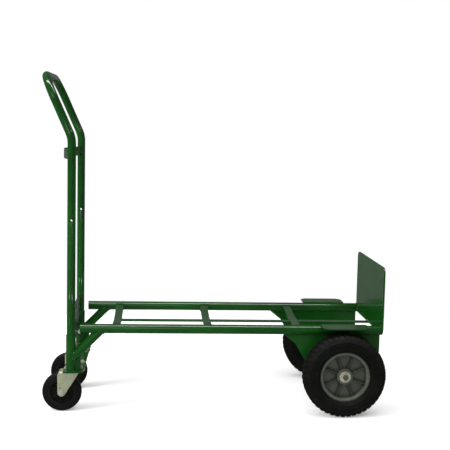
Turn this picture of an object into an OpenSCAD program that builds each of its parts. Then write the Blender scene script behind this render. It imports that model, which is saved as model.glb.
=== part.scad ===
// Convertible hand truck, set up as a four-wheel platform truck.
// X runs along the deck: the operator stands at -X and the nose plate is at +X.
// Y runs across the deck, left is +Y. Z is up and the floor is Z = 0. Millimetres.

/* [Overall] */
// Length from the rear of the casters to the front of the nose plate
overall_len = 1063; // [1040:1:1090]
// Height of the side rails' centre lines above the floor, at the main axle
rail_z = 257; // [255:1:262]
// Angle by which the deck slopes down from the casters to the nose plate
deck_tilt = 1.1; // [0:0.1:1.5]
// Distance between the centre lines of the two side rails
rail_spacing = 376; // [370:2:400]

/* [Side rails] */
// Length of each side rail
rail_len = 929.5; // [900:0.5:960]
// Outside diameter of the rail tube
rail_d = 28.6; // [28.2:0.1:30]
// Wall thickness of the rail tube
rail_wall = 1.3; // [1.1:0.1:1.3]

/* [Deck straps] */
// Width of the flat deck straps
strap_w = 25; // [20:1:32]
// Thickness of the flat deck straps
strap_t = 4; // [3:0.5:5]
// How far the cross straps bow down in the middle
strap_bow = 14; // [8:1:16]

/* [Nose plate] */
// Width of the nose plate
nose_w = 400; // [390:2:410]
// Height of the nose plate
nose_h = 210; // [180:5:240]
// Thickness of the nose plate
nose_t = 5; // [4:0.5:6]

/* [Handle] */
// Outside diameter of the handle tube
handle_d = 25.4; // [25:0.1:25.4]
// Wall thickness of the handle tube
handle_wall = 1.6; // [1.2:0.1:2]
// Height of the bend where the handle leans back
bend_z = 835; // [780:5:880]
// Angle by which the top of the handle leans back
handle_tilt = 24; // [18:1:26]
// Length from the bend to the grip bar, along the tube
grip_len = 203; // [180:1:210]
// Height of the lock holes in the handle's legs
lock_hole_z = 587; // [560:1:610]
// Diameter of the lock holes
lock_hole_d = 8; // [6:0.5:9]

/* [Leg sockets] */
// Outside diameter of the upright leg sockets
socket_d = 29.4; // [29:0.1:31]
// Gap between the handle tube and a tube that it plugs into, on the radius
plug_gap = 0.3; // [0.25:0.05:0.4]
// Height of the top of the leg sockets
socket_top = 237; // [225:1:240]

/* [Main wheels] */
// Diameter of the main tyres
wheel_d = 254; // [250:1:254]
// Width of the main tyres
wheel_w = 76; // [70:1:80]
// Distance between the middles of the two main tyres
track = 472; // [468:1:490]
// Diameter of the axle
axle_d = 15.9; // [12:0.1:18]

/* [Casters] */
// Diameter of the caster wheels
caster_d = 123; // [115:1:123]
// Width of the caster tread
caster_w = 30; // [26:1:32]
// Distance of the caster axle behind its swivel axis
caster_trail = 40.5; // [38:0.5:44]
// Distance between the two swivel axes
caster_spacing = 256; // [230:2:280]

/* [Hidden] */
$fn = 72;
left = 1;
right = -1;

// Paints and finishes
green = [0.07, 0.25, 0.08];
zinc = [0.66, 0.66, 0.52];
steel = [0.72, 0.72, 0.70];
rubber = [0.05, 0.05, 0.05];
plastic = [0.24, 0.26, 0.23];
eps = 1;

// Places across the deck and radii of the tubes
rail_y = rail_spacing / 2;
rail_r = rail_d / 2;
handle_r = handle_d / 2;
socket_r = socket_d / 2;
socket_bore_r = handle_r + plug_gap;

// Heights of the caster's stack, from the wheel up
crown_z = caster_d + 3;
crown_t = 3;
race_z = crown_z + crown_t + 0.3;
plate_z = race_z + 4.2;
plate_t = 3.5;
pad_z = plate_z + plate_t;
pad_t = 4;
leg_z = pad_z + pad_t;

// Deck straps: the cross straps' ends meet the rails, the centre strap runs under them
strap_end_z = rail_z + 6;
strap_mid_z = strap_end_z - strap_bow;
cross_half = rail_y - 13;
bow_r = (cross_half * cross_half + strap_bow * strap_bow) / (2 * strap_bow);
centre_strap_z = strap_mid_z - 1.5 * strap_t;

// Nose plate
nose_z = rail_z - 13.5;
nose_corner = 20;

// Places along the deck, as they are before the deck is tilted about the axle
wheel_r = wheel_d / 2;
nose_lean = (nose_z + nose_h - wheel_r) * sin(deck_tilt);
axle_x = overall_len / 2 - wheel_r * cos(deck_tilt) - nose_lean;
front_x = axle_x + wheel_r;
rail_x1 = front_x - nose_t;
rail_x0 = rail_x1 - rail_len;
leg_x = rail_x0 - 27.5;
king_x = caster_trail + caster_d / 2 - overall_len / 2;
strap_pitch = 286;
strap_x = [for (i = [0:2]) rail_x0 + 107.5 + i * strap_pitch];

// Axle brackets and fenders
bracket_t = 5;
bracket_boss_r = 27;
fender_t = 3;
fender_len = 142;
fender_x = 3;
fender_y1 = rail_y + 70;
fender_cut = 16;

// Leg frame
leg_foot_z = wheel_r + (leg_z - wheel_r - (axle_x - leg_x) * sin(deck_tilt)) / cos(deck_tilt);
brace_d = 27;
brace_wall = 1.6;
brace_angle = 45;
brace_foot_z = 162;
gusset_t = 5;
gusset_w = 15.5;
tie_t = 4;
tie_z = [190, 307];
clamp_z = 172;
screw_d = 8;
boss_d = 14;
boss_len = 9;
screw_head_r = 6.5;
screw_head_len = 10;
cross_bar_half = 13;
cross_bar_r = 2.5;

// Handle
bend_r = 80;
corner_r = 80;
tilt_tangent = bend_r * tan(handle_tilt / 2);
bend_start_z = bend_z - tilt_tangent;
arm_len = grip_len - tilt_tangent - corner_r;
arm_lap = 3;
arm_step = 0.15;
handle_foot_z = leg_foot_z + 0.6;
handle_strap_z = 769;
handle_strap_h = 30;
handle_strap_bow = 37;
hs_half = rail_y - handle_r + 2;
hs_r = (hs_half * hs_half + handle_strap_bow * handle_strap_bow) / (2 * handle_strap_bow);

// Main wheels
rim_lip_r = 77;
rim_seat_r = 71;
rim_bore_r = 67;
rim_half = 27;
web_half = 6;
boss_r = 23.5;
boss_half = 26;
hub_ribs = 8;
rib_t = 4;
rib_half = 20;
bearing_r = 17.5;
bearing_t = 11;
bearing_ring = 3;
seal_recess = 1;
axle_clearance = 1.5;
axle_r = axle_d / 2;
run_gap = 0.05;
axle_half = track / 2 + 36;
spacer_r = 13;
washer_r = 17;
washer_t = 2.5;
cotter_y = track / 2 + boss_half + washer_t + 3;
cotter_d = 3.2;

// Casters
caster_y = caster_spacing / 2;
caster_r = caster_d / 2;
plate_l = 62;
plate_w = 92;
beam_w = 412;
bolt_dx = 22;
bolt_dy = 36;
bolt_d = 8;
bolt_head_h = 3;
bolt_head_r = 8;
bolt_reach = 10;
nut_across = 13;
nut_h = 6.5;
kingpin_d = 12;
kingpin_head_r = 10;
kingpin_head_h = 4;
race_r = 29;
fork_in = 19.5;
fork_t = 2.5;
fork_eye_r = 12;
fork_front = 13;
lip_h = 3;
lip_gap = 0.4;
pressed_rib_r = 0.9;
spare_hole_r = 2;
caster_axle_d = 10;
axle_hex = 16;
axle_head_h = 6.5;
axle_nut_h = 8;
caster_hub_r = 42;
caster_boss_half = 19;
bushing_r = 8;

// ---------- shared shapes ----------

// Flat outline with four round corners, centred
module round_rect(w, h, r) {
    square([w - 2 * r, h], center = true);
    square([w, h - 2 * r], center = true);
    for (sx = [-1, 1], sy = [-1, 1]) translate([sx * (w / 2 - r), sy * (h / 2 - r)]) circle(r);
}

// Cylinder along X from x0 to x1
module rod_x(x0, x1, r) {
    translate([x0, 0, 0]) rotate([0, 90, 0]) cylinder(h = x1 - x0, r = r);
}

// Cylinder along Y between y0 and y1, in either order
module rod_y(y0, y1, r) {
    translate([0, max(y0, y1), 0]) rotate([90, 0, 0]) cylinder(h = abs(y1 - y0), r = r);
}

// Solid plate in the X-Z plane, thickness t centred on Y = 0, from a flat outline
module plate_xz(t) {
    translate([0, t / 2, 0]) rotate([90, 0, 0]) linear_extrude(height = t) children();
}

// Closed outline from its upper half: the lower half is its mirror image
function both_halves(half) = concat(half, [for (i = [len(half) - 1:-1:0]) [half[i][0], -half[i][1]]]);

// Ring of revolution about the Y axis from a half outline: x is the radius, y is the offset along Y
module turn_y() {
    rotate([-90, 0, 0]) rotate_extrude() children();
}

// Hexagon prism across flats af, from z = 0 up
module hex(af, h) {
    cylinder(h = h, r = af / sqrt(3), $fn = 6);
}

// Turns the deck and the handle about the main axle by the deck's slope
module tilted() {
    translate([axle_x, 0, wheel_r]) rotate([0, deck_tilt, 0]) translate([-axle_x, 0, -wheel_r]) children();
}

// Level block under the legs' feet, with its top on the caster beam's top
module below_legs() {
    translate([leg_x - 100, -beam_w, 0]) cube([200, 2 * beam_w, leg_z]);
}

module at_rail(side) {
    translate([0, side * rail_y, rail_z]) children();
}

module at_leg(side) {
    translate([leg_x, side * rail_y, 0]) children();
}

module at_wheel(side) {
    translate([axle_x, side * track / 2, wheel_r]) children();
}

module at_kingpin(side) {
    translate([king_x, side * caster_y, 0]) children();
}

module at_caster_axle(side) {
    translate([king_x - caster_trail, side * caster_y, caster_r]) children();
}

// ---------- frame ----------

module side_rail(side) {
    color(green) at_rail(side) difference() {
        rod_x(rail_x0, rail_x1, rail_r);
        rod_x(rail_x0 - eps, rail_x1 + eps, rail_r - rail_wall);
    }
}

// Flat strap bowed down between the rails, its ends shaped to the tubes
module cross_strap(i) {
    color(green) difference() {
        translate([strap_x[i] - strap_w / 2, 0, strap_mid_z + bow_r])
            rotate([90, 0, 90]) linear_extrude(height = strap_w) intersection() {
                difference() {
                    circle(bow_r + strap_t / 2, $fn = 720);
                    circle(bow_r - strap_t / 2, $fn = 720);
                }
                translate([-cross_half, -bow_r - strap_t]) square([2 * cross_half, 40]);
            }
        for (side = [left, right]) at_rail(side) rod_x(rail_x0, rail_x1, rail_r);
    }
}

module centre_strap() {
    x0 = strap_x[0] - strap_w / 2;
    color(green) translate([x0, -strap_w / 2, centre_strap_z]) cube([rail_x1 - x0, strap_w, strap_t]);
}

module nose_plate() {
    color(green) translate([rail_x1, 0, nose_z + nose_h / 2])
        rotate([90, 0, 90]) linear_extrude(height = nose_t) round_rect(nose_w, nose_h, nose_corner);
}

// Outline of an axle bracket, with x measured from the axle and y from the floor
module bracket_outline() {
    polygon([[-190, rail_z - 8], [-145, 213], [-118, 166], [-62, 107], [-24, 101], [24, 101], [62, 112],
             [rail_x1 - axle_x - 4, 190], [rail_x1 - axle_x - 4, rail_z - 8]]);
    translate([0, wheel_r]) circle(bracket_boss_r);
}

module axle_bracket(side) {
    color(green) difference() {
        translate([axle_x, side * rail_y, 0]) plate_xz(bracket_t) bracket_outline();
        at_rail(side) rod_x(rail_x0, rail_x1, rail_r);
        translate([axle_x, side * rail_y, wheel_r]) rod_y(-bracket_t, bracket_t, axle_r);
    }
}

// Flat guard welded to the top of a rail, over the tyre, with its outer corners cut off
module fender(side) {
    w = fender_y1 - rail_y;
    h = fender_len / 2;
    color(green) translate([axle_x + fender_x, side * rail_y, rail_z + rail_r])
        mirror([0, side == left ? 0 : 1, 0])
        linear_extrude(height = fender_t)
            polygon([[-h, 0], [h, 0], [h, w - fender_cut], [h - fender_cut, w],
                     [fender_cut - h, w], [-h, w - fender_cut]]);
}

// ---------- axle ----------

module axle() {
    color(steel) translate([axle_x, 0, wheel_r]) difference() {
        rod_y(-axle_half, axle_half, axle_r);
        for (side = [left, right]) translate([0, side * cotter_y, 0])
            cylinder(h = axle_d + 2 * eps, r = cotter_d / 2, center = true);
    }
}

// Tubes that hold each wheel off its bracket
module axle_spacers() {
    y0 = rail_y + bracket_t / 2;
    y1 = track / 2 - boss_half - 0.3;
    color(steel) translate([axle_x, 0, wheel_r]) for (side = [left, right]) difference() {
        translate([0, side * (y0 + y1) / 2, 0]) rod_y((y0 - y1) / 2, (y1 - y0) / 2, spacer_r);
        rod_y(-axle_half, axle_half, axle_r);
    }
}

module axle_washers() {
    y0 = track / 2 + boss_half + 0.3;
    color(steel) translate([axle_x, 0, wheel_r]) for (side = [left, right]) difference() {
        translate([0, side * (y0 + washer_t / 2), 0]) rod_y(-washer_t / 2, washer_t / 2, washer_r);
        rod_y(-axle_half, axle_half, axle_r);
    }
}

// Split pins through the axle's ends, with an eye above and two short legs below
module cotter_pins() {
    pin_r = cotter_d / 2;
    eye_r = 4;
    color(steel) for (side = [left, right]) translate([axle_x, side * cotter_y, wheel_r]) {
        translate([0, 0, -axle_r - 3]) cylinder(h = axle_d + 6, r = pin_r - run_gap);
        translate([0, 0, axle_r + 3 + eye_r - 0.6]) rotate([90, 0, 0])
            rotate_extrude() translate([eye_r - 1, 0]) circle(1.4);
        for (sx = [-1, 1]) translate([sx * 0.5, 0, -axle_r - 2.4]) rotate([0, 180 - sx * 35, 0])
            cylinder(h = 7, r = 1);
    }
}

// ---------- leg frame ----------

// Upright tube that the handle plugs into, its foot cut level with the caster beam
module leg_socket(side) {
    color(green) difference() {
        tilted() at_leg(side) difference() {
            translate([0, 0, leg_foot_z - 2]) cylinder(h = socket_top - leg_foot_z + 2, r = socket_r);
            translate([0, 0, leg_foot_z - 2 - eps])
                cylinder(h = socket_top - leg_foot_z + 2 + 2 * eps, r = socket_bore_r);
            translate([0, 0, clamp_z]) rod_y(0, -side * socket_d, screw_d / 2 + run_gap);
        }
        below_legs();
    }
}

// Corner plate between the socket's foot, the caster beam and the underside of the brace
module leg_gusset(side) {
    foot_z = leg_foot_z - 2;
    color(green) difference() {
        tilted() difference() {
            translate([0, side * rail_y, 0]) plate_xz(gusset_t)
                translate([leg_x + 5, foot_z])
                    square([socket_r + gusset_w - 5, brace_foot_z + gusset_w - foot_z]);
            at_leg(side) translate([0, 0, leg_foot_z - 4]) cylinder(h = rail_z, r = socket_r);
            brace_solid(side, brace_d / 2);
        }
        below_legs();
    }
}

// Axis of a brace, from inside the socket up to the rail, as a solid rod of radius r
module brace_solid(side, r) {
    translate([leg_x, side * rail_y, brace_foot_z]) rotate([0, 90 - brace_angle, 0])
        cylinder(h = (rail_z - brace_foot_z) / sin(brace_angle), r = r);
}

module leg_brace(side) {
    color(green) difference() {
        brace_solid(side, brace_d / 2);
        brace_bore(side);
        at_leg(side) translate([0, 0, 100]) cylinder(h = 150, r = socket_r);
        at_rail(side) rod_x(rail_x0, rail_x1, rail_r);
        translate([leg_x, side * rail_y - 20, rail_z - 2]) cube([200, 40, 40]);
    }
}

module brace_bore(side) {
    translate([leg_x, side * rail_y, brace_foot_z]) rotate([0, 90 - brace_angle, 0])
        translate([0, 0, -20]) cylinder(h = 240, r = brace_d / 2 - brace_wall);
}

// Upright plate between the two sockets
module leg_tie_plate() {
    w = rail_spacing - 2 * socket_r;
    h = tie_z[1] - tie_z[0];
    color(green) translate([leg_x - tie_t / 2, 0, tie_z[0] + h / 2])
        rotate([90, 0, 90]) linear_extrude(height = tie_t) difference() {
            square([w, h], center = true);
            for (sy = [-1, 1]) translate([sy * w / 2, h / 2]) rotate(45) square(34, center = true);
        }
}

// Threaded bosses on the inner sides of the sockets
module clamp_bosses() {
    color(green) for (side = [left, right]) at_leg(side) difference() {
        translate([0, 0, clamp_z]) rod_y(-side * socket_bore_r, -side * (socket_r + boss_len), boss_d / 2);
        cylinder(h = rail_z, r = socket_r);
        translate([0, 0, clamp_z]) rod_y(0, -side * 2 * socket_d, screw_d / 2 + run_gap);
    }
}

// Hand screw with a cross bar: its tip bears on the handle's leg when it is tightened
module clamp_screw(side) {
    tip = -side * (handle_r + plug_gap);
    collar = -side * (socket_r + boss_len + 3);
    end = collar - side * screw_head_len;
    color(steel) at_leg(side) translate([0, 0, clamp_z]) {
        rod_y(tip, collar, screw_d / 2);
        rod_y(collar, end, screw_head_r);
        translate([0, (collar + end) / 2, 0]) {
            rod_x(-cross_bar_half, cross_bar_half, cross_bar_r);
            for (sx = [-1, 1]) translate([sx * cross_bar_half, 0, 0]) sphere(cross_bar_r + 0.9);
        }
    }
}

// ---------- handle ----------

// Cross-section of the handle's tube, its wall thinned on both sides by step
module tube_section(step = 0) {
    difference() {
        circle(handle_r - step);
        circle(handle_r - handle_wall + step);
    }
}

// One bent tube: two upright legs, two bends back, two arms and the grip bar with its corners
module handle_loop() {
    elbow_x = leg_x - bend_r * (1 - cos(handle_tilt));
    elbow_z = bend_start_z + bend_r * sin(handle_tilt);
    color(green) {
        for (side = [left, right]) {
            difference() {
                at_leg(side) translate([0, 0, handle_foot_z])
                    linear_extrude(height = bend_start_z - handle_foot_z) tube_section();
                at_leg(side) translate([0, 0, lock_hole_z]) rod_y(-handle_d, handle_d, lock_hole_d / 2);
            }
            translate([leg_x - bend_r, side * rail_y, bend_start_z]) rotate([90, 0, 0])
                rotate_extrude(angle = handle_tilt) translate([bend_r, 0]) tube_section();
        }
        translate([elbow_x, 0, elbow_z]) rotate([0, -handle_tilt, 0]) {
            for (side = [left, right]) translate([0, side * rail_y, -arm_lap])
                linear_extrude(height = arm_len + arm_lap) tube_section(arm_step);
            for (m = [0, 1]) mirror([0, m, 0]) translate([0, rail_y - corner_r, arm_len])
                rotate([90, 0, 90]) rotate_extrude(angle = 90) translate([corner_r, 0]) tube_section();
            translate([0, rail_y - corner_r, arm_len + corner_r]) rotate([90, 0, 0])
                linear_extrude(height = rail_spacing - 2 * corner_r) tube_section();
        }
    }
}

// Flat strap between the handle's legs, bowed backwards
module handle_strap() {
    color(green) difference() {
        translate([leg_x - handle_strap_bow + hs_r, 0, handle_strap_z])
            linear_extrude(height = handle_strap_h) intersection() {
                difference() {
                    circle(hs_r + strap_t / 2, $fn = 360);
                    circle(hs_r - strap_t / 2, $fn = 360);
                }
                translate([-hs_r - strap_t, -hs_half]) square([60, 2 * hs_half]);
            }
        for (side = [left, right]) at_leg(side) cylinder(h = bend_start_z, r = handle_r);
    }
}

// ---------- caster mounting ----------

module bolt_places() {
    for (sx = [-1, 1], sy = [-1, 1]) translate([sx * bolt_dx, sy * bolt_dy, 0]) children();
}

// Flat bar under both leg sockets that carries the casters
module caster_beam() {
    color(green) difference() {
        translate([king_x, 0, pad_z]) linear_extrude(height = pad_t) round_rect(plate_l, beam_w, 6);
        for (side = [left, right]) at_kingpin(side) bolt_holes(pad_z, pad_t);
    }
}

module bolt_holes(z, t) {
    bolt_places() translate([0, 0, z - eps]) cylinder(h = t + 2 * eps, r = bolt_d / 2 + 0.3);
}

module caster_plate(side) {
    color(zinc) at_kingpin(side) difference() {
        translate([0, 0, plate_z]) linear_extrude(height = plate_t) round_rect(plate_l, plate_w, 9);
        bolt_holes(plate_z, plate_t);
        translate([0, 0, plate_z - eps]) cylinder(h = plate_t + 2 * eps, r = kingpin_d / 2);
    }
}

// Upper ball race, a shallow dish pressed against the plate
module caster_race(side) {
    color(zinc) at_kingpin(side) rotate_extrude() polygon([
        [kingpin_d / 2, race_z], [race_r - 6, race_z], [race_r, race_z + 2], [race_r, plate_z],
        [kingpin_d / 2, plate_z]]);
}

// Carriage bolts: low round heads below the caster plates, threads up through the pads
module caster_bolts() {
    rim_h = 1.2;
    color(steel) for (side = [left, right]) at_kingpin(side) bolt_places() {
        translate([0, 0, plate_z - bolt_head_h])
            cylinder(h = bolt_head_h - rim_h, r1 = bolt_head_r - 2.5, r2 = bolt_head_r);
        translate([0, 0, plate_z - rim_h]) cylinder(h = rim_h, r = bolt_head_r);
        translate([0, 0, plate_z - eps]) cylinder(h = leg_z + bolt_reach - plate_z + eps, r = bolt_d / 2);
    }
}

module caster_nuts() {
    color(steel) for (side = [left, right]) at_kingpin(side) bolt_places()
        translate([0, 0, leg_z]) difference() {
            hex(nut_across, nut_h);
            translate([0, 0, -eps]) cylinder(h = nut_h + 2 * eps, r = bolt_d / 2);
        }
}

// Swivel rivet: it holds the fork up under the ball race
module kingpin(side) {
    head_z = crown_z - 0.3;
    color(zinc) at_kingpin(side) {
        translate([0, 0, head_z - kingpin_head_h]) cylinder(h = kingpin_head_h, r = kingpin_head_r);
        translate([0, 0, head_z - kingpin_head_h])
            cylinder(h = pad_z - head_z + kingpin_head_h, r = kingpin_d / 2);
    }
}

// ---------- casters ----------

// Side of the fork, x from the swivel axis and y from the floor
module fork_side_outline() {
    ax = -caster_trail;
    top = crown_z + crown_t;
    polygon([[ax - fork_eye_r, caster_r], [ax - fork_eye_r, top], [fork_front, top],
             [ax + fork_eye_r * cos(28), caster_r - fork_eye_r * sin(28)]]);
    translate([ax, caster_r]) circle(fork_eye_r);
}

// Pressed fork: two tapered sides, a round crown and a lip that shrouds the ball race
module caster_fork(side) {
    ax = -caster_trail;
    lip_r = race_r + 2.5;
    color(zinc) at_kingpin(side) difference() {
        union() {
            for (sy = [-1, 1]) translate([0, sy * (fork_in + fork_t / 2), 0])
                plate_xz(fork_t) fork_side_outline();
            translate([0, 0, crown_z]) linear_extrude(height = crown_t) {
                circle(lip_r);
                translate([ax - fork_eye_r, -fork_in - fork_t])
                    square([fork_front + fork_eye_r - ax, 2 * (fork_in + fork_t)]);
            }
            translate([0, 0, crown_z + crown_t]) difference() {
                cylinder(h = lip_h, r = lip_r);
                translate([0, 0, -eps]) cylinder(h = lip_h + 2 * eps, r = race_r + lip_gap);
            }
            for (sy = [-1, 1], i = [0:3])
                translate([ax - 7.5 + i * 6, sy * (fork_in + fork_t), crown_z - 46 + i * 4])
                    cylinder(h = 42 - i * 4, r = pressed_rib_r);
        }
        translate([0, 0, crown_z - eps]) cylinder(h = crown_t + 2 * eps, r = kingpin_d / 2 + run_gap);
        translate([ax, 0, caster_r]) rod_y(-2 * fork_in, 2 * fork_in, caster_axle_d / 2);
        translate([ax - 4, 0, caster_r + 15]) rod_y(-2 * fork_in, 2 * fork_in, spare_hole_r);
    }
}

// Axle bolt, its head on the inner side of the truck
module caster_axle(side) {
    out = fork_in + fork_t;
    color(steel) at_caster_axle(side) {
        rod_y(-out - bolt_reach, out + bolt_reach, caster_axle_d / 2);
        translate([0, -side * out, 0]) rotate([side * 90, 0, 0]) hex(axle_hex, axle_head_h);
    }
}

module caster_axle_nut(side) {
    out = fork_in + fork_t;
    color(steel) at_caster_axle(side) difference() {
        translate([0, side * out, 0]) rotate([-side * 90, 0, 0]) hex(axle_hex, axle_nut_h);
        rod_y(-2 * out, 2 * out, caster_axle_d / 2);
    }
}

module caster_tread(side) {
    h = caster_w / 2;
    half = [[caster_hub_r, h], [caster_r - 7, h], [caster_r - 1.5, h - 4.5], [caster_r, h - 9]];
    color(rubber) at_caster_axle(side) turn_y() polygon(both_halves(half));
}

// Hub with a rim, a thin web and a boss for the bushing
module caster_hub(side) {
    h = caster_w / 2;
    bh = caster_boss_half;
    half = [[bushing_r, bh], [15, bh], [17, 5], [34, 5], [36, h], [caster_hub_r, h]];
    color(rubber) at_caster_axle(side) turn_y() polygon(both_halves(half));
}

module caster_bushing(side) {
    r0 = caster_axle_d / 2 + run_gap;
    bh = caster_boss_half;
    color(steel) at_caster_axle(side) turn_y()
        translate([r0, -bh]) square([bushing_r - r0, 2 * bh]);
}

// ---------- main wheels ----------

// Tyre with three grooves round its tread
module tyre(side) {
    h = wheel_w / 2;
    r = wheel_r;
    groove_t = 3;
    groove_pitch = 11;
    half = [[rim_seat_r, rim_half - 3], [rim_lip_r, rim_half - 3], [rim_lip_r, rim_half + 3],
            [rim_lip_r + 8, h - 3], [r - 30, h], [r - 18, h - 1], [r - 8, h - 6], [r - 2, h - 13],
            [r, h - 20]];
    color(rubber) at_wheel(side) turn_y() difference() {
        polygon(both_halves(half));
        for (i = [-1:1]) translate([r - groove_t, i * groove_pitch - groove_t / 2])
            square([groove_t + eps, groove_t]);
    }
}

// Moulded rim with two lips that hold the tyre's bead
module wheel_rim(side) {
    half = [[rim_seat_r, rim_half - 3], [rim_lip_r, rim_half - 3], [rim_lip_r, rim_half - 1],
            [rim_lip_r - 1, rim_half], [rim_bore_r + 1, rim_half], [rim_bore_r, rim_half - 6]];
    color(plastic) at_wheel(side) turn_y() polygon(both_halves(half));
}

// Moulded hub inside the rim: a thin web, eight ribs and a boss for the bearings
module wheel_hub(side) {
    color(plastic) at_wheel(side) difference() {
        union() {
            rod_y(-web_half, web_half, rim_bore_r);
            rod_y(-boss_half, boss_half, boss_r);
            intersection() {
                rod_y(-rib_half, rib_half, rim_bore_r);
                for (i = [0:hub_ribs - 1]) rotate([0, (i + 0.5) * 360 / hub_ribs, 0])
                    translate([boss_r - 2, -rib_half - eps, -rib_t / 2])
                        cube([rim_bore_r, 2 * (rib_half + eps), rib_t]);
            }
        }
        rod_y(-boss_half - eps, boss_half + eps, axle_r + axle_clearance);
        for (sy = [-1, 1]) translate([0, sy * (boss_half - bearing_t / 2 + eps / 2), 0])
            rod_y(-(bearing_t + eps) / 2, (bearing_t + eps) / 2, bearing_r);
    }
}

// Two sealed ball bearings in the hub, with the seals set back from the rings
module wheel_bearings(side) {
    r0 = axle_r + run_gap;
    h = bearing_t / 2;
    half = [[r0, h], [r0 + bearing_ring, h], [r0 + bearing_ring, h - seal_recess],
            [bearing_r - bearing_ring, h - seal_recess], [bearing_r - bearing_ring, h], [bearing_r, h]];
    color(steel) at_wheel(side) for (sy = [-1, 1])
        translate([0, sy * (boss_half - h), 0]) turn_y() polygon(both_halves(half));
}

// ---------- assembly ----------

tilted() side_rail(left);  // side_rail_left
tilted() side_rail(right);  // side_rail_right
tilted() cross_strap(0);  // cross_strap_rear
tilted() cross_strap(1);  // cross_strap_middle
tilted() cross_strap(2);  // cross_strap_front
tilted() centre_strap();
tilted() nose_plate();
tilted() axle_bracket(left);  // axle_bracket_left
tilted() axle_bracket(right);  // axle_bracket_right
tilted() fender(left);  // fender_left
tilted() fender(right);  // fender_right
axle();
axle_spacers();
axle_washers();
cotter_pins();
leg_socket(left);  // leg_socket_left
leg_socket(right);  // leg_socket_right
leg_gusset(left);  // leg_gusset_left
leg_gusset(right);  // leg_gusset_right
tilted() leg_brace(left);  // leg_brace_left
tilted() leg_brace(right);  // leg_brace_right
tilted() leg_tie_plate();
tilted() clamp_bosses();
tilted() clamp_screw(left);  // clamp_screw_left
tilted() clamp_screw(right);  // clamp_screw_right
tilted() handle_loop();
tilted() handle_strap();
caster_beam();
caster_plate(left);  // caster_plate_left
caster_plate(right);  // caster_plate_right
caster_race(left);  // caster_race_left
caster_race(right);  // caster_race_right
caster_bolts();
caster_nuts();
kingpin(left);  // kingpin_left
kingpin(right);  // kingpin_right
caster_fork(left);  // caster_fork_left
caster_fork(right);  // caster_fork_right
caster_axle(left);  // caster_axle_left
caster_axle(right);  // caster_axle_right
caster_axle_nut(left);  // caster_axle_nut_left
caster_axle_nut(right);  // caster_axle_nut_right
caster_tread(left);  // caster_tread_left
caster_tread(right);  // caster_tread_right
caster_hub(left);  // caster_hub_left
caster_hub(right);  // caster_hub_right
caster_bushing(left);  // caster_bushing_left
caster_bushing(right);  // caster_bushing_right
tyre(left);  // tyre_left
tyre(right);  // tyre_right
wheel_rim(left);  // wheel_rim_left
wheel_rim(right);  // wheel_rim_right
wheel_hub(left);  // wheel_hub_left
wheel_hub(right);  // wheel_hub_right
wheel_bearings(left);  // wheel_bearings_left
wheel_bearings(right);  // wheel_bearings_right
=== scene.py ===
import math
import bmesh
import bpy
from mathutils import Matrix, Vector


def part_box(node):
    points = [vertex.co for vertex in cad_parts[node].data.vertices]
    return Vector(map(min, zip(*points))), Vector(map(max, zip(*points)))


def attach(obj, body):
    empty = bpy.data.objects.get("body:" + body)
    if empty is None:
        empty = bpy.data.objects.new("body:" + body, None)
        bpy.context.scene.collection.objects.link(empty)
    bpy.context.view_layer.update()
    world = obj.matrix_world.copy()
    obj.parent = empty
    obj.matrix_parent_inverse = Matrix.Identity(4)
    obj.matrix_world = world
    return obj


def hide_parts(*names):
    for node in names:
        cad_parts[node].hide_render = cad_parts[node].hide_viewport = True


# Looks of the convertible hand truck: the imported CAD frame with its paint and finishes, and its finer pieces.

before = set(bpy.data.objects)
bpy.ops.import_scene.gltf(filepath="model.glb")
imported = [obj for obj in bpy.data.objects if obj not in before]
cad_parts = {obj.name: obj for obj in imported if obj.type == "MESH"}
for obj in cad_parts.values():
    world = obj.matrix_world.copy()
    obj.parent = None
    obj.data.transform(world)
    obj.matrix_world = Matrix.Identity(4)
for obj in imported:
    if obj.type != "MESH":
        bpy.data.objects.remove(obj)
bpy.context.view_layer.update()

MM = 0.001
TAU = 2 * math.pi
LEFT, RIGHT = 1, -1
SIDES = {"left": LEFT, "right": RIGHT}
ALONG_Y = Matrix.Rotation(-math.pi / 2, 4, "X")  # turns local +Z to +Y


# ---------- places, read from the frame ----------


def middle(node, box=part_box):
    """Centre of a CAD node's box."""
    low, high = box(node)
    return (low + high) / 2


def size(node, box=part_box):
    """Lengths of a CAD node's box along X, Y and Z."""
    low, high = box(node)
    return high - low


AXLE = middle("axle")
DECK_TILT = math.radians(1.1)
TILT = Matrix.Translation(AXLE) @ Matrix.Rotation(DECK_TILT, 4, "Y") @ Matrix.Translation(-AXLE)
LEVEL = TILT.inverted()


def deck_box(node):
    """Box of a CAD node of the sloping deck, in the deck's own frame, where the rails lie along X."""
    corners = [LEVEL @ v.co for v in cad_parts[node].data.vertices]
    return tuple(Vector([pick(p[i] for p in corners) for i in range(3)]) for pick in (min, max))


RAIL_R = size("side_rail_right", deck_box).z / 2
RAIL_Z = middle("side_rail_right", deck_box).z
RAIL_Y = middle("side_rail_left").y
RAIL_X1 = deck_box("side_rail_right")[1].x
LEG_X = middle("leg_socket_right", deck_box).x
SOCKET_R = size("leg_socket_right").y / 2
SOCKET_Z0, SOCKET_Z1 = (corner.z for corner in deck_box("leg_socket_right"))
HANDLE_R = 12.7 * MM
BRACE_R = size("leg_brace_right").y / 2
BRACE_FOOT_Z = 162 * MM
BRACE_ANGLE = math.radians(45)
KING_X = middle("kingpin_right").x
KING_Y = middle("kingpin_left").y
WHEEL_R = size("tyre_left").z / 2
WHEEL_Y = middle("tyre_left").y
AXLE_X = AXLE.x
CASTER_R = size("caster_tread_left").z / 2
CASTER_X = middle("caster_tread_left").x
STRAP_T = size("centre_strap").z

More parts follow.
